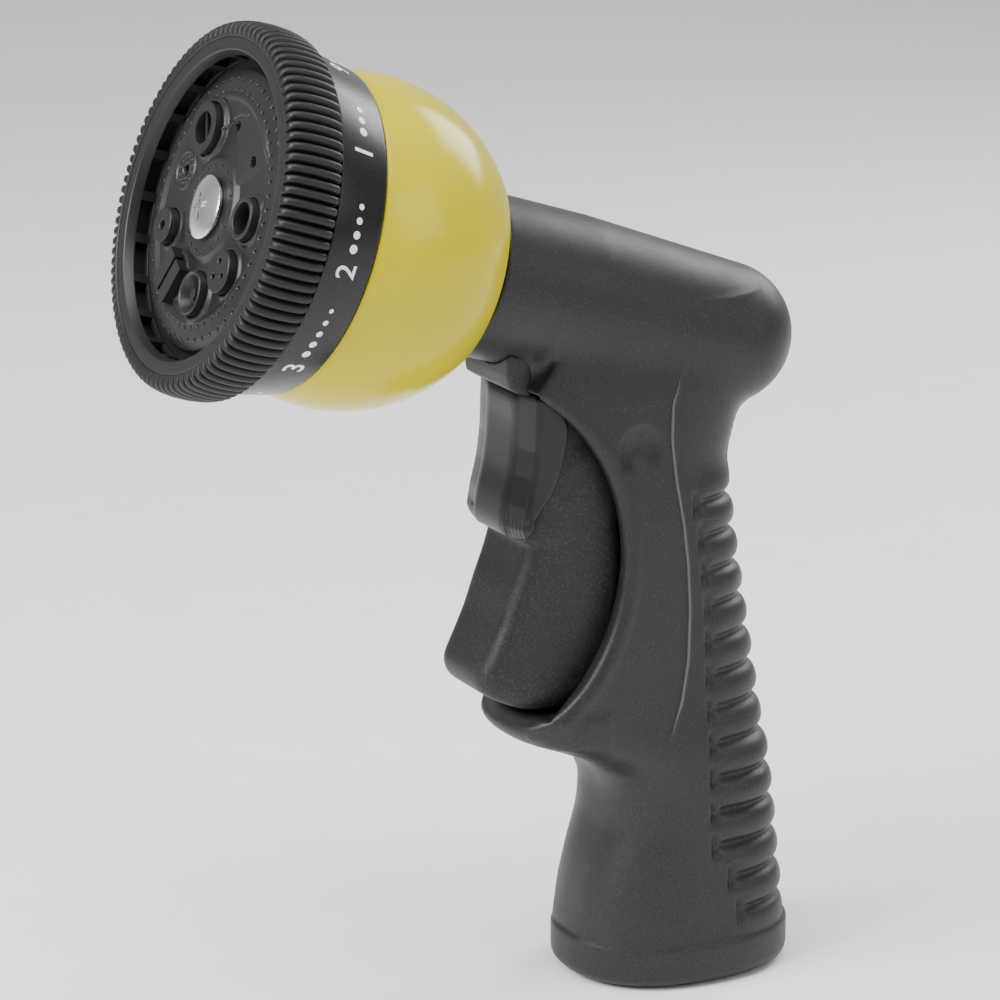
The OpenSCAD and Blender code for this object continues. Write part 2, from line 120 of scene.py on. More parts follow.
def fade(q):
    """1 well below zero, 0 well above it."""
    return 0.5 - 0.5 * np.tanh(q)


def barrel_coords(x, y, z):
    """(along the barrel axis, up across it, radius from it)"""
    along = x * AXIS[0] + (z - AXIS_HEIGHT) * AXIS[2]
    up = x * AXIS_UP[0] + (z - AXIS_HEIGHT) * AXIS_UP[2]
    return along, up, np.sqrt(up ** 2 + y ** 2)


def outline_distance(x, z, points):
    """Signed distance in the side view from a closed outline."""
    best = None
    inside = None
    for i, (ax, az) in enumerate(points):
        bx, bz = points[(i + 1) % len(points)]
        ex, ez = bx - ax, bz - az
        wx, wz = x - ax, z - az
        t = np.clip((wx * ex + wz * ez) / (ex * ex + ez * ez), 0, 1)
        d = (wx - ex * t) ** 2 + (wz - ez * t) ** 2
        best = d if best is None else np.minimum(best, d)
        over = ((az <= z) != (bz <= z)) & (ez * (wx * ez - wz * ex) < 0)
        inside = over if inside is None else inside ^ over
    return np.where(inside, -1.0, 1.0) * np.sqrt(best)


def smooth_outline(points, per_side=6):
    """A closed smooth curve through the points (Catmull-Rom)."""
    p = [np.array(q, float) for q in points]
    n, out = len(p), []
    for i in range(n):
        a, b, c, d = p[i - 1], p[i], p[(i + 1) % n], p[(i + 2) % n]
        for j in range(per_side):
            t = j / per_side
            out.append(0.5 * (2 * b + (c - a) * t + (2 * a - 5 * b + 4 * c - d) * t ** 2
                              + (3 * b - 3 * c + d - a) * t ** 3))
    return [tuple(q) for q in out]


def surface_net(field, low, high, step):
    """Vertices and quads of the field's zero surface, pulled onto it."""
    axes = [np.arange(a, b + step, step) for a, b in zip(low, high)]
    gx, gy, gz = np.ix_(*axes)
    f = np.broadcast_to(field(gx, gy, gz), [len(a) for a in axes])
    inside = f < 0
    corners = [(i, j, k) for i in (0, 1) for j in (0, 1) for k in (0, 1)]
    shape = np.array(f.shape) - 1

    def part(a, c):
        return a[c[0]:c[0] + shape[0], c[1]:c[1] + shape[1], c[2]:c[2] + shape[2]]

    count = sum(part(inside, c).astype(np.int8) for c in corners)
    cells = np.argwhere((count > 0) & (count < 8))
    index = np.full(tuple(shape), -1)
    index[tuple(cells.T)] = np.arange(len(cells))
    total, hits = np.zeros((len(cells), 3)), np.zeros(len(cells))
    for a in corners:
        for b in corners:
            if a < b and sum(p != q for p, q in zip(a, b)) == 1:
                fa = f[tuple((cells + a).T)]
                fb = f[tuple((cells + b).T)]
                on = (fa < 0) != (fb < 0)
                t = np.where(on, fa / np.where(on, fa - fb, 1), 0)
                total += on[:, None] * (np.array(a) + t[:, None] * (np.array(b) - np.array(a)))
                hits += on
    v = np.array([a[0] for a in axes]) + (cells + total / hits[:, None]) * step
    quads = []
    for axis in range(3):
        b, c = (axis + 1) % 3, (axis + 2) % 3
        e = np.eye(3, dtype=int)
        lo = [slice(1, -1)] * 3
        lo[axis] = slice(0, -1)
        hi = [slice(1, -1)] * 3
        hi[axis] = slice(1, None)
        s0, s1 = inside[tuple(lo)], inside[tuple(hi)]
        at = np.argwhere(s0 != s1) + (1 - e[axis])
        out = s0[s0 != s1]
        ring = [at - e[b] - e[c], at - e[c], at, at - e[b]]
        q = np.stack([index[tuple(r.T)] for r in ring], 1)
        q[~out] = q[~out][:, ::-1]
        quads.append(q)
    for _ in range(3):
        g = np.stack([
            field(*(v + d).T) - field(*(v - d).T)
            for d in np.eye(3) * 0.04], 1) / 0.08
        move = field(*v.T)[:, None] * g / np.maximum((g ** 2).sum(1), 0.25)[:, None]
        size = np.linalg.norm(move, axis=1, keepdims=True)
        v = v - move * np.minimum(1, 0.5 * step / np.maximum(size, 1e-9))
    return v, np.concatenate(quads)


# ---------- pieces ----------

def shade(me, angle=None):
    me.shade_smooth()
    if angle:
        me.set_sharp_from_angle(angle=math.radians(angle))


def piece(name, verts, faces, body, material, replaces=(), sharp=None):
    """A mesh piece from vertices in millimetres, riding on a body."""
    me = bpy.data.meshes.new(name)
    me.from_pydata((np.asarray(verts, float) * MM).tolist(), [], [list(map(int, q)) for q in faces])
    me.validate()
    me.update()
    shade(me, sharp)
    ob = bpy.data.objects.new(name, me)
    bpy.context.scene.collection.objects.link(ob)
    me.materials.append(material)
    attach(ob, body)
    if replaces:
        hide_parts(*replaces)
    return ob


def join(parts):
    """One list of vertices and faces from several."""
    verts, faces, base = [], [], 0
    for v, f in parts:
        verts.append(np.asarray(v, float))
        faces += [[i + base for i in q] for q in f]
        base += len(v)
    return np.vstack(verts), faces


def on_axis(points):
    """Points given as (u along +Y, v up, s along the barrel axis) in the CAD frame."""
    p = np.asarray(points, float)
    return AXIS_FOOT + p[:, :1] * np.array([0, 1, 0]) + p[:, 1:2] * AXIS_UP + p[:, 2:] * AXIS


def ring_faces(count, n):
    """Quads of a closed ring of count stations, each with the same n points."""
    faces = []
    for i in range(count):
        m = (i + 1) % count
        for j in range(n):
            k = (j + 1) % n
            faces.append((i * n + j, i * n + k, m * n + k, m * n + j))
    return faces


def lathe(profile, segments=192):
    """A closed ring of revolution about the barrel axis. profile: [(s, r), ...] closed, r > 0."""
    verts = []
    for i in range(segments):
        a = 2 * math.pi * i / segments
        verts += [(r * math.cos(a), r * math.sin(a), s) for s, r in profile]
    return on_axis(verts), ring_faces(segments, len(profile))


def rounded(profile, radius, steps=4):
    """The profile with each corner rounded, by no more than half of its sides."""
    out, n = [], len(profile)
    for i, p in enumerate(profile):
        p = np.array(p, float)
        a, b = np.array(profile[i - 1], float), np.array(profile[(i + 1) % n], float)
        la, lb = np.linalg.norm(a - p), np.linalg.norm(b - p)
        r = min(radius, la * 0.45, lb * 0.45)
        u, w = p + (a - p) / la * r, p + (b - p) / lb * r
        for j in range(steps + 1):
            t = j / steps
            out.append(tuple((1 - t) ** 2 * u + 2 * t * (1 - t) * p + t * t * w))
    return out


# ---------- materials ----------

def material(name, colour, rough, metal=0.0, grain=600.0, depth=0.02, speckle=0.0, wear=0.05,
             sheen_rough=0.12, gloss=0.35):
    """A surface with a moulded grain, uneven gloss and a little wear, all from its place on the object."""
    mat = bpy.data.materials.new(name)
    mat.use_nodes = True
    tree = mat.node_tree
    new, link = tree.nodes.new, tree.links.new
    shader = tree.nodes["Principled BSDF"]
    shader.inputs["Metallic"].default_value = metal
    shader.inputs["Specular IOR Level"].default_value = gloss
    place = new("ShaderNodeTexCoord").outputs["Object"]

    def noise(scale, detail=4.0):
        n = new("ShaderNodeTexNoise")
        n.inputs["Scale"].default_value = scale
        n.inputs["Detail"].default_value = detail
        link(place, n.inputs["Vector"])
        return n.outputs["Fac"]

    def remap(value, a, b, c, d):
        m = new("ShaderNodeMapRange")
        for socket, x in zip(("From Min", "From Max", "To Min", "To Max"), (a, b, c, d)):
            m.inputs[socket].default_value = x
        link(value, m.inputs["Value"])
        return m.outputs["Result"]

    fine, broad = noise(grain * 4), noise(90.0)
    tone = remap(broad, 0.3, 0.7, 1 - wear, 1 + wear)
    if speckle:
        flecks = remap(noise(grain * 4.5, 3.0), 0.52, 0.70, 0.0, speckle)
        add = new("ShaderNodeMath")
        link(tone, add.inputs[0])
        link(flecks, add.inputs[1])
        tone = add.outputs["Value"]
    paint = new("ShaderNodeVectorMath")
    paint.operation = "SCALE"
    paint.inputs[0].default_value = colour
    link(tone, paint.inputs["Scale"])
    link(paint.outputs["Vector"], shader.inputs["Base Color"])
    both = new("ShaderNodeMath")
    both.operation = "ADD"
    link(remap(broad, 0.3, 0.7, rough - sheen_rough / 2, rough + sheen_rough / 2), both.inputs[0])
    link(remap(fine, 0.3, 0.7, -0.04, 0.04), both.inputs[1])
    link(both.outputs["Value"], shader.inputs["Roughness"])
    if depth:
        bump = new("ShaderNodeBump")
        bump.inputs["Strength"].default_value = 1.0
        bump.inputs["Distance"].default_value = depth * MM
        link(fine, bump.inputs["Height"])
        link(bump.outputs["Normal"], shader.inputs["Normal"])
    return mat


skin_mat = material("grip_skin", (0.0095, 0.0102, 0.0112), 0.46, grain=900, depth=0.025, speckle=1.6)
# Lighter than the grip skin: a painted highlight for the raised line down each side
side_line_highlight_mat = material("side_painted_highlight", (0.075, 0.077, 0.080), 0.40, depth=0.0)
core_mat = material("core_plastic", (0.014, 0.0145, 0.0140), 0.50, grain=700, depth=0.04, speckle=1.4)
trigger_mat = material("trigger_plastic", (0.0085, 0.0086, 0.0080), 0.52, grain=500, depth=0.06, speckle=2.0)
catch_mat = material("catch_plastic", (0.008, 0.008, 0.008), 0.34, depth=0.008, sheen_rough=0.06)
bell_mat = material("bell_yellow", (0.50, 0.42, 0.0), 0.20, depth=0.004, wear=0.02, sheen_rough=0.04,
                    gloss=0.22)
collar_mat = material("collar_black", (0.006, 0.006, 0.0065), 0.30, depth=0.008)
band_mat = material("band_black", (0.004, 0.004, 0.0045), 0.30, depth=0.006, sheen_rough=0.06)
print_mat = material("band_print", (0.78, 0.78, 0.77), 0.45, depth=0.0)
rib_mat = material("rib_rubber", (0.006, 0.006, 0.0062), 0.50, depth=0.03, wear=0.12)
face_mat = material("face_plastic", (0.011, 0.011, 0.0115), 0.38, depth=0.012, sheen_rough=0.08)
chrome_mat = material("screw_chrome", (0.78, 0.78, 0.77), 0.18, metal=1.0, depth=0.003)
steel_mat = material("pin_steel", (0.55, 0.55, 0.56), 0.32, metal=1.0, depth=0.004)
brass_mat = material("valve_brass", (0.60, 0.42, 0.16), 0.30, metal=1.0, depth=0.004)
seal_mat = material("seal_rubber", (0.012, 0.012, 0.012), 0.6, depth=0.02)
inner_mat = material("inner_plastic", (0.22, 0.22, 0.21), 0.45, depth=0.02)
inlet_mat = material("inlet_plastic", (0.050, 0.051, 0.050), 0.42, depth=0.02)

slot_materials = {
    "core_plastic": core_mat, "inlet_plastic": inlet_mat, "seal_rubber": seal_mat,
    "pin_steel": steel_mat, "seat_plastic": inner_mat, "valve_brass": brass_mat,
    "collar_black": collar_mat, "bell_yellow": bell_mat, "inner_plastic": inner_mat,
    "spring_steel": steel_mat, "screw_chrome": chrome_mat, "face_plastic": face_mat,
    "rib_rubber": rib_mat, "band_black": band_mat, "outlet_plastic": face_mat,
    "trigger_plastic": trigger_mat, "catch_plastic": catch_mat, "stem_steel": steel_mat,
    "grip_skin": skin_mat,
}

# Every CAD node gets its slot's material; the nodes listed below also get softly broken edges
slot_of = {s["node"]: s["material_slot"] for s in frame["record"]["subparts"]}
for name, ob in nodes.items():
    mat = slot_materials[slot_of[name]]
    if not ob.data.materials:
        ob.data.materials.append(mat)
    for i in range(len(ob.material_slots)):
        ob.material_slots[i].material = mat

for name in ("shower_disc", "cone_cup", "cone_pin", "fan_block", "mist_boss", "flood_boss", "jet_tube",
             "centre_screw"):
    ob = nodes[name]
    weld = ob.modifiers.new("weld", "WELD")
    weld.merge_threshold = 1e-6
    bevel = ob.modifiers.new("soft_edges", "BEVEL")
    bevel.width = 0.25 * MM
    bevel.segments = 3
    bevel.limit_method = "ANGLE"
    bevel.angle_limit = math.radians(35)
    bevel.harden_normals = True

# ---------- the grip ----------

# Handle sections: [height, back, front, half width]
SECTIONS = np.array([
    [COLLAR_TOP, -19.2, 19.8, 16.4], [14, -18.2, 18.8, 15.9], [20, -17.4, 17.2, 15.4],
    [27, -16.5, 14.9, 15.0], [33, -15.6, 14.4, 14.8], [37, -15.1, 16.3, 14.7], [40, -14.7, 20.5, 14.6],
    [42.5, -14.3, 27.4, 14.4], [45, -14.0, 32.6, 14.2], [48, -13.6, 34.8, 14.0], [55, -12.5, 40.0, 13.8],
    [64, -11.0, 42.0, 13.6], [74, -9.3, 42.0, 13.4], [84, -7.9, 42.0, 13.2], [90, -7.7, 42.0, 13.0],
    [96, -9.4, 42.0, 12.9], [103, -12.5, 42.0, 12.7], [112, -13.0, 42.0, 11.6], [125, -13.0, 42.0, 10.5],
])
fine_z = np.arange(0, 125, 0.25)
kernel = np.exp(-0.5 * (np.arange(-14, 15) * 0.25 / 1.3) ** 2)
kernel /= kernel.sum()


def smoothed(column):
    """One column of SECTIONS at every fine height, with its corners blurred."""
    rough = np.interp(fine_z, SECTIONS[:, 0], SECTIONS[:, column])
    padded = np.concatenate([np.full(14, rough[0]), rough, np.full(14, rough[-1])])
    return np.convolve(padded, kernel, "valid")


back_line, front_line, half_line = smoothed(1), smoothed(2), smoothed(3)


def superellipse(x, y, middle, reach, half, power):
    """Roughly the distance from a rounded-rectangle section."""
    px, py = np.abs(x - middle), np.abs(y)
    rho = ((px / reach) ** power + (py / half) ** power) ** (1 / power)
    rho = np.maximum(rho, 1e-3)
    return np.sqrt(px ** 2 + py ** 2) * (1 - 1 / rho)


GROOVE_TOP, GROOVE_PITCH = 83.2, 5.95
# The seam line down each side: heights, then distances forward
SIDE_LINE = ([40, 43, 50, 57, 65.4, 73, 80, 88, 95, 101, 108],
             [9.0, 8.6, 5.8, 4.5, 4.1, 4.4, 5.2, 6.7, 7.6, 7.4, 4.8])


def handle_field(x, y, z):
    """The handle with its finger grooves and side line, before it is hollowed."""
    back = np.interp(z, fine_z, back_line)
    front = np.interp(z, fine_z, front_line)
    half = np.interp(z, fine_z, half_line)
    power = np.interp(z, [10, 40, 100], [2.5, 2.9, 3.1])
    f = superellipse(x, y, (back + front) / 2, (front - back) / 2, half, power)
    # finger grooves down the back, ending short of the sides
    phase = (GROOVE_TOP - z) / GROOVE_PITCH
    row = np.clip(np.round(phase), 0, 12)
    wave = np.abs(phase - row) * GROOVE_PITCH
    end = np.interp(row, [0, 1, 3, 10, 11, 12], [2.2, 1.2, 0.0, -0.5, -3.5, -5.0])
    groove = np.exp(-(wave / 0.85) ** 2) * fade((x - end) / 0.7)
    rise = np.interp(z, [6, 12, 84, 90], [0, 1, 1, 0])
    swell = (0.5 + 0.5 * np.cos(2 * np.pi * phase)) * 0.5
    scallop = fade((x - end + 0.6) / 1.2) * rise
    f = f + scallop * (0.95 * groove + swell - 0.5)
    # short upright notch at each groove's end
    notch = np.exp(-((x - end - 0.2) / 0.55) ** 2) * np.exp(-((wave - 0.9) / 1.3) ** 2) * rise
    f = f + 0.75 * notch * (np.abs(y) > 5)
    # raised line down each side
    line_x = np.interp(z, *SIDE_LINE)
    line = np.exp(-((x - line_x) / 0.42) ** 2) * np.interp(z, [41, 46, 104, 109], [0, 1, 1, 0])
    behind = fade((x - line_x) / 0.9) * np.interp(z, [42, 50, 100, 108], [0, 1, 1, 0])
    return f - 0.30 * line * (np.abs(y) > 6) + 0.30 * behind * (np.abs(y) > 6) * (1 - scallop)


def barrel_field(x, y, z):
    s, _, r = barrel_coords(x, y, z)
    width = np.interp(s, [BARREL_BACK, 22, BARREL_END], [BARREL_BACK_R, BARREL_R, BARREL_R])
    body = np.maximum(r - width, s - BARREL_END)
    dome = rod(np.minimum(s - BARREL_BACK, 0), r, BARREL_BACK_R)
    return np.where(s < BARREL_BACK, dome, smax(body, s - BARREL_END, 1.0))


def scoop_field(x, z):
    """The round scoop in front, where the trigger's fingers go."""
    return pivot_rod(x, z, SCOOP, SCOOP_R)


def bay_outside(x, y, z):
    """The core's trigger bay, which the jacket is hollow for."""
    arc = pivot_rod(x, z, PIVOT, np.where(x > 27, 52.3, 54.5))
    box = np.maximum(3.7 - x, slab(z, 45, 104.8))
    return np.maximum(np.maximum(arc, box), np.abs(y) - 11)


def jacket_field(x, y, z):
    """The skin of handle and barrel in one moulding, hollow for the core."""
    handle = np.maximum(handle_field(x, y, z), z - 116)
    plate_front = np.interp(z, [103.5, 105.3, 107.7, 110.2, 114.6], [33.8, 31.6, 29.4, 28.1, 27.5])
    handle = smax(handle, x - plate_front, 1.2)
    # lip under the trigger, curved about its pivot and rounded in plan
    lip_arc = pivot_rod(x, z, PIVOT, 54.8)
    lip_tip = (x - (32.4 - y ** 2 / 26)) * 0.8
    lip = smax(smax(np.abs(lip_arc) - 2.6, lip_tip, 2.2), np.abs(y) - 13.2, 1.6)
    lip = np.maximum(lip, np.maximum(20 - x, z - 60))
    barrel = barrel_field(x, y, z)
    f = smin(handle, barrel, 2.2)
    # web under the barrel, in front of the handle
    web = smax(outline_distance(x, z, WEB), np.abs(y) - 8.2, 2.4)
    f = smin(f, web, 2.6)
    f = cut(f, np.broadcast_to(scoop_field(x, z), f.shape), 1.5)
    f = smin(f, lip, 2.0)
    # bead along the scoop's edge
    rim = np.abs(scoop_field(x, z) - 1.9)
    f = f - 0.30 * np.exp(-(rim / 1.0) ** 2) * np.interp(z, [96, 102], [1, 0]) * (np.abs(y) > 8)
    # collar round the inlet
    collar = superellipse(x, y, 0, 20.4, 16.9, 2.3)
    collar = smax(smax(collar, z - COLLAR_TOP, 0.9), -z, 2.6)
    f = np.minimum(smax(f, COLLAR_TOP - 1 - z, 0.1), collar)
    # round dimple in each side
    ball = np.sqrt((x - 13.2) ** 2 + (z - 94.1) ** 2 + (np.abs(y) - 19.1) ** 2) - 7.5
    f = cut(f, ball, 0.25)
    # hollows
    f = cut(f, bay_outside(x, y, z), 0.5)
    s, _, r = barrel_coords(x, y, z)
    f = cut(f, np.maximum(r - 9.3, -13 - s), 0.3)
    f = cut(f, np.maximum(rod(x, y, 14.7), z - 14.9), 0.3)
    f = cut(f, np.maximum(rod(x - FEED_X, y, 5.7), slab(z, 12, 90)), 0.3)
    f = cut(f, np.maximum(rod(z - VALVE_HEIGHT, y, 7.3), slab(x, -6.2, 12)), 0.3)
    return cut(f, np.maximum(rod(x - RISER_X, y, 5.1), slab(z, VALVE_HEIGHT, 114)), 0.3)


WEB = smooth_outline([(14, 96), (22.2, 97.6), (26.6, 101.2), (29.6, 103.4), (31.0, 104.2), (31.0, 112),
                      (24, 118), (12, 114)], 4)

COARSE = 0.42
verts, quads = surface_net(jacket_field, (-23, -18.5, -0.9), (46, 18.5, 139), COARSE)
piece("grip_jacket_skin", verts, quads, "body", skin_mat, ("grip_jacket",), sharp=50)


def on_side(x, z, side):
    """The point of the jacket's side wall at this x and z, found by stepping in and then halving."""
    def at(y):
        return float(jacket_field(np.array([x]), np.array([side * y]), np.array([z]))[0])

    near = next(y for y in np.arange(18, 2, -0.25) if at(y) < 0)
    far = near + 0.25
    for _ in range(8):
        middle = (near + far) / 2
        near, far = (middle, far) if at(middle) < 0 else (near, middle)
    return Vector((x, side * near, z))


def bead(points, radius, ring=8):
    """A round bead that follows a line of points, drawn to a point at both ends."""
    verts, quads = [], []
    for i, p in enumerate(points):
        way = (points[min(i + 1, len(points) - 1)] - points[max(i - 1, 0)]).normalized()
        across = way.cross(Vector((0, 1, 0))).normalized()
        out = across.cross(way).normalized()
        r = radius * min(1.0, 0.05 + 10 * min(i, len(points) - 1 - i) / len(points))
        for k in range(ring):
            t = 2 * math.pi * k / ring
            verts.append(tuple(p + across * (r * math.cos(t)) + out * (r * math.sin(t))))
    for i in range(len(points) - 1):
        for k in range(ring):
            a, b = i * ring + k, i * ring + (k + 1) % ring
            quads.append((a, b, b + ring, a + ring))
    quads.append(tuple(reversed(range(ring))))
    quads.append(tuple(range(len(verts) - ring, len(verts))))
    return verts, quads


# A thin bead along each side line, in the lighter colour that paints the line's highlight
seams = []
for side in (-1, 1):
    seams.append(bead([on_side(float(np.interp(z, *SIDE_LINE)), float(z), side)
                       for z in np.linspace(44.5, 105.5, 62)], 0.24))
verts, quads = join(seams)
piece("side_highlight_bead", verts, quads, "body", side_line_highlight_mat, ())


def core_field(x, y, z):
    """The core: the trigger's bay, the web, the water tubes and the valve chamber."""
    scooped = scoop_field(x, z) - 0.8
    walls = smax(bay_outside(x, y, z), x - 27, 0.6)
    relief = pivot_rod(x, z, CATCH_PIVOT, 6.2)
    side = np.where(np.abs(y) > BAY_HALF, -np.minimum(scooped, relief), -9.0)
    bay = smax(walls, side, 0.5)
    # room for the trigger's sweep
    space = np.maximum(pivot_rod(x, z, PIVOT, TRIGGER_SWEEP), np.maximum(np.abs(y) - BAY_HALF, BAY_BACK - x))
    space = np.maximum(space, np.where(z > BAY_STEP, BAY_UPPER_BACK - x, -9.0))
    bay = cut(bay, space, 0.4)
    bay = np.minimum(bay, smax(outline_distance(x, z, WEB_CORE), np.abs(y) - 4.8, 0.8))
    tube = np.maximum(rod(x - FEED_X, y, 5.6), slab(z, 12.6, VALVE_HEIGHT))
    base = np.maximum(rod(x, y, 14.6), slab(z, 12.6, 15.2))
    valve = np.maximum(rod(z - VALVE_HEIGHT, y, 7.2), slab(x, -6.1, 8))
    riser = np.maximum(rod(x - RISER_X, y, 5), slab(z, VALVE_HEIGHT, 108))
    s, _, r = barrel_coords(x, y, z)
    pipe = np.maximum(r - 9.2, slab(s, -12, 46))
    f = np.minimum(np.minimum(np.minimum(bay, tube), np.minimum(base, valve)), np.minimum(riser, pipe))
    f = cut(f, np.maximum(rod(x - FEED_X, y, 3.8), z - 75))
    f = cut(f, np.maximum(rod(z - VALVE_HEIGHT, y, 5.6), -5.2 - x))
    return cut(f, np.maximum(r - 7.2, -9 - s))


WEB_CORE = [(19, 104.7), (30.4, 104.7), (30.4, 117), (19, 113)]
verts, quads = surface_net(core_field, (-16, -15.5, 11.5), (48, 15.5, 136), COARSE)
piece("core_shell", verts, quads, "body", core_mat, ("core_body",), sharp=40)

CAP = [(30.9, 103.8), (33.4, 104.5), (35.0, 105.6), (35.3, 107.4), (35.3, 112), (30.9, 112)]


def cap_field(x, y, z):
    """The separate end on the web, cut to the barrel."""
    f = smax(outline_distance(x, z, CAP), np.abs(y) - 8.0, 0.8)
    _, _, r = barrel_coords(x, y, z)
    return cut(f, r - 13.62, 0.2)


verts, quads = surface_net(cap_field, (30, -9, 102.5), (36.5, 9, 113), 0.3)
piece("front_cap_skin", verts, quads, "body", core_mat, ("front_cap",), sharp=50)

# ---------- the trigger ----------

BELLY = smooth_outline([
    (31.0, 84.0), (31.2, 80.0), (32.4, 75.5), (34.3, 70.6), (36.1, 65.6), (38.2, 61.2), (40.0, 57.3),
    (39.4, 54.6), (36.6, 52.5), (31.4, 50.3), (26, 49.8), (19, 50.2), (15.7, 55), (14.3, 62), (13.7, 70),
    (13.8, 76), (14.4, 82), (15.4, 90), (19, 95), (25, 94)], 4)
HEAD = smooth_outline([(15.2, 82), (16.2, 91), (18.4, 101), (21, 104.3), (25, 104.4), (28.6, 103.7),
                       (29.8, 100), (30.1, 93), (30.9, 84), (31, 79)], 4)


def trigger_field(x, y, z):
    """The squeeze lever, hollow from behind, with the lug that pushes the valve stem."""
    narrow = np.interp(z, [48, 54, 60, 72, 80, 92, 104], [8.2, 8.7, 8.9, 9.0, 9.0, 9.0, 8.6])
    front = np.clip((x - np.interp(z, [54, 58, 80, 92], [33, 34.5, 26, 25])) / 6, 0, 1)
    belly = smax(outline_distance(x, z, BELLY), np.abs(y) - (narrow - 0.7 * front ** 2), 3.2)
    head = smax(outline_distance(x, z, HEAD), np.abs(y) - 8.8, 1.6)
    f = smin(belly, head, 1.2)
    hollow = np.maximum(outline_distance(x, z, HOLLOW), np.abs(y) - 6.8)
    lug = np.maximum(np.maximum(14 - x, np.abs(z - VALVE_HEIGHT) - 5), np.abs(y) - 3)
    f = cut(f, hollow, 0.8)
    f = np.minimum(f, np.maximum(lug, x - 27))
    f = cut(f, pivot_rod(x, z, PIVOT, 2.05), 0.2)
    return cut(f, pivot_rod(x, z, CATCH_PIVOT, CATCH_BORE_R), 0.2)


CATCH_BORE_R = 1.02
HOLLOW = [(10, 54), (31, 55), (32, 60), (27, 78), (25, 92), (10, 90)]
FINE = 0.3
verts, quads = surface_net(trigger_field, (12, -10, 48), (42, 10, 106), FINE)
piece("trigger_skin", verts, quads, "trigger", trigger_mat, ("trigger_lever",), sharp=50)

# ---------- the catch ----------

CATCH = smooth_outline([
    (29.4, 104.0), (31.4, 104.2), (32.6, 103.0), (32.6, 99.0), (32.9, 95.0), (33.5, 90.5), (34.6, 85.8),
    (35.1, 82.2), (34.5, 80.4), (33.3, 80.1), (32.2, 81.6), (30.6, 84.6), (28.4, 87.4), (26.8, 90.8),
    (25.9, 94.4), (25.3, 98.2), (26.3, 101.8)], 4)


def catch_field(x, y, z):
    """The hold-open catch, hollow for the trigger's head between its cheeks."""
    front = np.interp(z, [80, 82, 85.8, 90.5, 95, 104], [34.4, 35.1, 34.6, 33.5, 32.9, 32.6])
    # a flat pad in front, its sides hollowed back to the cheeks
    side = np.interp(front - x, [0, 0.5, 1.0, 1.5, 2.3, 5.0, 7.5], [5.3, 6.0, 8.0, 9.9, 10.4, 10.6, 10.8])
    side = side + np.interp(z, [80, 84, 88], [0.4, 0.2, 0])
    f = smax(outline_distance(x, z, CATCH), (np.abs(y) - side) * 0.5, 0.9)
    # fine ribs beside the pad's lower end
    ribs = 0.12 * np.cos(2 * np.pi * np.abs(y) / 0.9)
    f = f - ribs * np.interp(z, [80, 81, 83, 84], [0, 1, 1, 0]) * (np.abs(y) > 5.4)
    room = smax(outline_distance(x, z, CATCH_ROOM), np.abs(y) - 9.3, 0.3)
    f = cut(f, room, 0.4)
    pin = pivot_rod(x, z, CATCH_PIVOT, CATCH_BORE_R)
    return cut(f, np.maximum(pin, np.abs(y) - 10.02), 0.1)


CATCH_ROOM = [(20, 106), (30.8, 106), (30.8, 92), (31.6, 80), (31.6, 75), (20, 75)]
verts, quads = surface_net(catch_field, (24, -12, 78.5), (37, 12, 106), FINE * 0.8)
piece("catch_skin", verts, quads, "catch", catch_mat, ("hold_catch",), sharp=50)

# ---------- the bell and the dial, turned about the barrel axis ----------

BELL_R, BELL_AT, BELL_WALL = 27.2, 64.0, 2.2


def sphere_line(radius, start, end, steps):
    """(s, r) points along a zone of the bell's sphere."""
    a = [math.acos((s - BELL_AT) / radius) for s in (start, end)]
    return [(BELL_AT + radius * math.cos(t), radius * math.sin(t)) for t in np.linspace(a[0], a[1], steps)]


outer = sphere_line(BELL_R, 44.3, 71.1, 60)
inner = sphere_line(BELL_R - BELL_WALL, 71.3, 46, 30)
profile = ([(43.5, 9.3), (43.5, 16.2)] + [(43.75, 16.9)] + outer + [(71.3, 26.1), (71.3, 24.2)] + inner[1:]
           + [(46, 9.3)])
v, f = lathe(profile, 256)
piece("bell_shell", v, f, "body", bell_mat, ("bell_housing",), sharp=50)
v, f = lathe(rounded([(41.4, 9.3), (41.4, 13.9), (42.0, 14.3), (43.4, 14.3), (43.4, 9.3)], 0.25), 192)
piece("barrel_collar_ring", v, f, "body", collar_mat, ("barrel_collar",), sharp=50)

# dial ring: skirt, rim, and a wall with rectangular windows
skirt = lathe(rounded([(BAND_BACK, 23.7), (BAND_BACK, 25.15), (86, 25.15), (86, FACE_R), (85.05, FACE_R),
                       (85.05, 23.7)], 0.1))
outer_wall = lathe([(80.8, 25.1), (80.8, 27.1), (89.9, 27.1), (89.9, 25.9), (85.8, 25.9), (85.8, 25.1)])
rim = lathe(rounded([(88.2, 24.2), (88.2, 26.2), (90.0, 27.0), (90.0, 24.9)], 0.3))
bars = []
for i in range(WINDOWS):
    mid = 2 * math.pi * (i + 0.35) / WINDOWS
    wide = math.radians(3.6) / 2
    ring = [(r * math.cos(mid + w), r * math.sin(mid + w), s)
            for s in (85.9, 88.3) for r, w in ((24.2, -wide), (24.2, wide), (26.0, wide), (26.0, -wide))]
    bars.append((on_axis(ring), [(0, 1, 2, 3), (7, 6, 5, 4), (0, 4, 5, 1), (1, 5, 6, 2), (2, 6, 7, 3),
                                 (3, 7, 4, 0)]))
v, f = join([skirt, outer_wall, rim] + bars)
piece("dial_ring_wall", v, f, "dial", face_mat, ("dial_ring",), sharp=40)


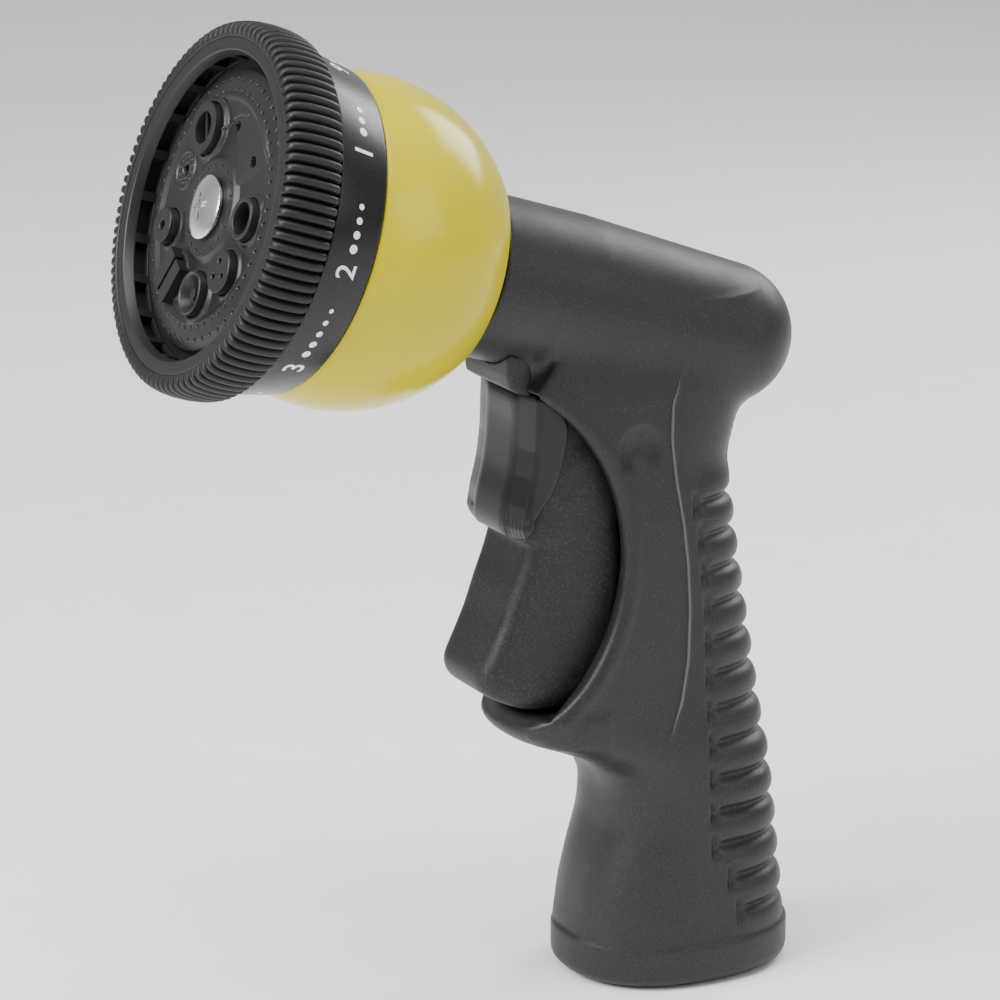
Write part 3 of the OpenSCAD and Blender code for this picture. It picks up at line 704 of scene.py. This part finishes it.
def ribbed_sleeve(ribs=104, across=12):
    """The rubber sleeve: rounded ribs with narrow valleys that turn over both edges."""
    base = [(80.9, 27.1), (80.75, 28.0), (80.9, 28.9), (81.5, 29.45), (83, 29.85), (85, 30.0),
            (87, 29.95), (88.6, 29.7), (89.6, 29.35), (90.15, 28.8), (90.3, 28.1), (90.28, 27.5),
            (90.15, 27.0), (89.6, 26.9)]
    base = rounded(base, 0.5, 2)
    verts = []
    count = ribs * across
    for i in range(count):
        phase = (i % across) / across
        valley = math.exp(-(min(phase, 1 - phase) / 0.13) ** 2)
        crown = 0.12 * math.cos(2 * math.pi * phase)
        a = 2 * math.pi * i / count
        for s, r in base:
            depth = min(max((r - 27.3) / 1.2, 0), 1)
            rr = r - (0.85 * valley + crown) * depth
            ss = s + (0.55 * valley if s < 82 else -0.45 * valley if s > 89 else 0) * depth
            verts.append((rr * math.cos(a), rr * math.sin(a), ss))
    return on_axis(verts), ring_faces(count, len(base))


v, f = ribbed_sleeve()
piece("rib_sleeve_rubber", v, f, "dial", rib_mat, ("rib_sleeve",), sharp=60)

band_profile = rounded([(BAND_BACK, 25.2), (BAND_BACK, BAND_BACK_R), (80.5, BAND_FRONT_R), (80.6, 25.2)], 0.3)
v, f = lathe(band_profile, 256)
piece("pattern_band_ring", v, f, "dial", band_mat, ("pattern_band",), sharp=40)


def band_point(angle, s, lift):
    """A point on the band, at an angle from +Y upward, lifted off it."""
    r = BAND_BACK_R + (s - BAND_BACK) * (BAND_FRONT_R - BAND_BACK_R) / BAND_SLOPE_LENGTH + lift
    return (r * math.cos(angle), r * math.sin(angle), s)


def glyph(text):
    """Flat outline of a number as triangles: (verts, faces), one unit high, centred."""
    cu = bpy.data.curves.new("glyph", "FONT")
    cu.body = text
    cu.size = 1.4
    cu.align_x, cu.align_y = "CENTER", "CENTER"
    cu.offset = 0.012
    tmp = bpy.data.objects.new("glyph", cu)
    bpy.context.scene.collection.objects.link(tmp)
    deps = bpy.context.evaluated_depsgraph_get()
    me = bpy.data.meshes.new_from_object(tmp.evaluated_get(deps))
    out = [tuple(p.co) for p in me.vertices], [tuple(q.vertices) for q in me.polygons]
    bpy.data.objects.remove(tmp)
    bpy.data.curves.remove(cu)
    bpy.data.meshes.remove(me)
    return out


def disc(cx, cy, r, n=20):
    """A flat round dot: (verts, faces)."""
    return [(cx + r * math.cos(2 * math.pi * i / n), cy + r * math.sin(2 * math.pi * i / n), 0)
            for i in range(n)], [tuple(range(n))]


marks = []
HEIGHT, MID_S = 3.6, 76.1
for i in range(PATTERNS):
    at = math.radians(46.0 - i * 40)
    verts, faces = glyph(str(i + 1))
    shapes = [([(x * HEIGHT - 5.2, y * HEIGHT, z) for x, y, z in verts], faces)]
    # a row of drops stands for the pattern's name
    shapes += [disc(-1.6 + 2.2 * k, 0, 0.72 - 0.08 * k) for k in range(2 + i % 3 + 1)]
    for verts, faces in shapes:
        # text reads up the circumference, its top towards the ribs
        flat = [band_point(at + x / BAND_MEAN_R, MID_S + y, 0.035) for x, y, z in verts]
        marks.append((on_axis(flat), faces))
v, f = join(marks)
piece("band_marks", v, f, "dial", print_mat, ())

# ---------- the dial's face ----------

def plane_xy(place):
    """An outlet's centre on the face, from its angle in degrees."""
    a = math.radians(place)
    return OUTLET_CIRCLE * math.cos(a), OUTLET_CIRCLE * math.sin(a)


OUTLETS = [FIRST_OUTLET - 40 * i for i in range(PATTERNS)]


def face_height(u, v):
    """Height of the face plate along the barrel axis: u along +Y, v up."""
    r = np.sqrt(u ** 2 + v ** 2)
    h = np.interp(r, [0, 3.6, 7.8, 8.8, 11, 17.2, 18.3, 20.9, 22.4, 23.0, 24.2],
                  [88.2, 88.2, 88.15, 87.5, 87.35, 87.4, 87.9, 87.4, 86.7, 85.7, 85.4])

    def bump(cx, cy, radius, height, soft=0.25):
        d = np.sqrt((u - cx) ** 2 + (v - cy) ** 2) - radius
        return height * fade(d / soft)

    def ring(cx, cy, radius, height, width):
        d = np.sqrt((u - cx) ** 2 + (v - cy) ** 2) - radius
        return height * np.exp(-(d / width) ** 2)

    # raised bosses and rims round the outlets
    for k, (radius, height) in {0: (4.1, 0.5), 1: (4.2, 0.4), 2: (4.4, 0.5), 3: (4.0, 0.3), 4: (3.6, 0.3),
                                6: (5.0, 0.7)}.items():
        x, y = plane_xy(OUTLETS[k])
        h = h + bump(x, y, radius, height)
    # round stamp with a rim
    x, y = plane_xy(OUTLETS[5])
    h = h + ring(x, y, 3.0, 0.28, 0.22) + ring(x, y, 1.3, 0.15, 0.2)
    for k in range(12):
        a = 2 * math.pi * k / 12
        h = h + bump(x + 2.2 * math.cos(a), y + 2.2 * math.sin(a), 0.22, 0.2, 0.1)
    # smooth raised plateau between two curved lines
    angle = np.degrees(np.arctan2(v, u))
    low_edge = np.interp(angle, [36, 50, 70, 95, 110, 150], [8.5, 8.9, 10.4, 14.6, 18.0, 18.0])
    plateau = ((angle > 34) & (angle < 112)) * (0.5 + 0.5 * np.tanh((r - low_edge) / 0.3))
    plateau = plateau * fade((r - 18.2) / 0.3)
    h = h + 0.55 * plateau * np.interp(angle, [34, 42, 104, 112], [0, 1, 1, 0])
    second = np.interp(angle, [70, 82, 100, 125, 150], [16.5, 15.8, 13.2, 9.6, 8.0])
    h = h + 0.22 * np.exp(-((r - second) / 0.25) ** 2) * ((angle > 74) & (angle < 150))
    # pinhole rings
    for radius, number, shift, size in PIN_RINGS:
        step = 2 * math.pi / number
        a = np.arctan2(v, u) - shift
        off = (a - np.round(a / step) * step) * r
        d = np.sqrt(off ** 2 + (r - radius) ** 2)
        h = h - 0.9 * fade((d - size) / 0.07)
    return h


PIN_RINGS = [(20.9, 54, 0.0, 0.24), (18.9, 54, math.pi / 54, 0.24), (6.9, 18, 0.1, 0.22)]


def face_plate():
    """The plate's shaped front, with a well sunk at each outlet, a side wall and a back."""
    around, rings = 900, 200
    radii = np.linspace(3.7, FACE_R, rings)
    a = 2 * math.pi * np.arange(around) / around
    u, v = radii[:, None] * np.cos(a), radii[:, None] * np.sin(a)
    h = face_height(u, v)
    wells = {0: 3.45, 1: 3.55, 2: 3.65, 3: 3.5, 4: 2.95, 5: 0.8, 6: 4.25, 7: 0.8, 8: 0.8}
    for k, radius in wells.items():
        x, y = plane_xy(OUTLETS[k])
        d = np.sqrt((u - x) ** 2 + (v - y) ** 2)
        h = h - 3.2 * fade((d - radius) / 0.05)
    points = np.stack([u, v, h], 2).reshape(-1, 3)
    index = np.arange(rings * around).reshape(rings, around)
    nxt = np.roll(index, -1, axis=1)
    faces = np.stack([index[:-1], index[1:], nxt[1:], nxt[:-1]], 2).reshape(-1, 4).tolist()
    base = len(points)
    back = np.stack([np.concatenate([u[0], u[-1]]), np.concatenate([v[0], v[-1]]),
                     np.full(2 * around, PLATE_BACK)], 1)
    points = np.vstack([points, back])
    for j in range(around):
        k = (j + 1) % around
        faces.append((index[0, k], base + k, base + j, index[0, j]))
        faces.append((index[-1, j], base + around + j, base + around + k, index[-1, k]))
        faces.append((base + j, base + k, base + around + k, base + around + j))
    return on_axis(points), faces


v, f = face_plate()
piece("face_plate_front", v, f, "dial", face_mat, ("face_plate",), sharp=60)

# ---------- hose thread in the inlet ----------

def hose_thread(major=13.55, minor=12.35, start=0.7, length=8.6, pitch=2.209, steps=72):
    """An internal helical thread ridge, tapering out at both ends."""
    turns = length / pitch
    count = int(steps * turns)
    verts, faces = [], []
    for i in range(count + 1):
        a = 2 * math.pi * turns * i / count
        z = start + length * i / count
        fade = min(1, i / 12, (count - i) / 12)
        peak = major - (major - minor) * fade
        for r, dz in ((major + 0.1, -0.95), (peak, -0.30), (peak, 0.30), (major + 0.1, 0.95)):
            verts.append((r * math.cos(a), r * math.sin(a), z + dz * max(fade, 0.15)))
    for i in range(count):
        for j in range(4):
            k = (j + 1) % 4
            faces.append((4 * i + j, 4 * i + k, 4 * i + 4 + k, 4 * i + 4 + j))
    faces += [(3, 2, 1, 0), tuple(4 * count + j for j in range(4))]
    return np.array(verts), faces


v, f = hose_thread()
piece("hose_thread", v, f, "body", inlet_mat, ())

# ---------- floor, light and camera ----------

me = bpy.data.meshes.new("floor")
# A sheet that lies flat and turns up behind the object, in metres: (distance back, height)
half_span, bend = 4.0, 0.5
rows = [(-0.9, 0.0)]
rows += [(1.1 + bend * math.sin(t), bend - bend * math.cos(t)) for t in np.linspace(0, math.pi / 2, 12)]
rows += [(1.6, 3.0)]
direction = Vector((math.cos(CAMERA_AZIMUTH), math.sin(CAMERA_AZIMUTH), 0))
side = Vector((-direction.y, direction.x, 0))
pts, fcs = [], []
for d, z in rows:
    for w in (-half_span, half_span):
        p = -direction * d + side * w
        pts.append((p.x, p.y, z - 0.0005))
for i in range(len(rows) - 1):
    fcs.append((2 * i, 2 * i + 1, 2 * i + 3, 2 * i + 2))
me.from_pydata(pts, [], fcs)
me.shade_smooth()
floor = bpy.data.objects.new("floor", me)
bpy.context.scene.collection.objects.link(floor)
me.materials.append(material("floor_paper", (0.86, 0.86, 0.86), 0.7, depth=0.0, wear=0.01))

world = bpy.data.worlds.new("studio")
bpy.context.scene.world = world
world.use_nodes = True
world.node_tree.nodes["Background"].inputs["Color"].default_value = (1, 1, 1, 1)
world.node_tree.nodes["Background"].inputs["Strength"].default_value = 0.5

target = Vector((16.1, -31.8, 74.9)) * MM
centre = Vector((20, 0, 85)) * MM


def softbox(name, azimuth, elevation, distance, size, power):
    """A soft light of size by size metres that faces the object."""
    data = bpy.data.lights.new(name, "AREA")
    data.shape = "RECTANGLE"
    data.size, data.size_y = size, size
    data.energy = power
    ob = bpy.data.objects.new(name, data)
    a, e = math.radians(azimuth), math.radians(elevation)
    way = Vector((math.cos(a) * math.cos(e), math.sin(a) * math.cos(e), math.sin(e)))
    ob.location = centre + way * distance
    ob.rotation_mode = "QUATERNION"
    ob.rotation_quaternion = (centre - ob.location).to_track_quat("-Z", "Y")
    bpy.context.scene.collection.objects.link(ob)


softbox("key", 5, 35, 0.8, 0.45, 10)
softbox("fill", 120, 25, 0.9, 0.5, 2)
softbox("top", 60, 75, 0.8, 0.6, 7)
softbox("rim", 200, 30, 0.8, 0.35, 4)

cam = bpy.data.cameras.new("camera")
cam.sensor_width = 36
cam.lens = 162
camera = bpy.data.objects.new("camera", cam)
bpy.context.scene.collection.objects.link(camera)
camera.location = Vector((361.4, 631.6, 282.1)) * MM
camera.rotation_mode = "QUATERNION"
camera.rotation_quaternion = (target - camera.location).to_track_quat("-Z", "Y")
bpy.context.scene.camera = camera
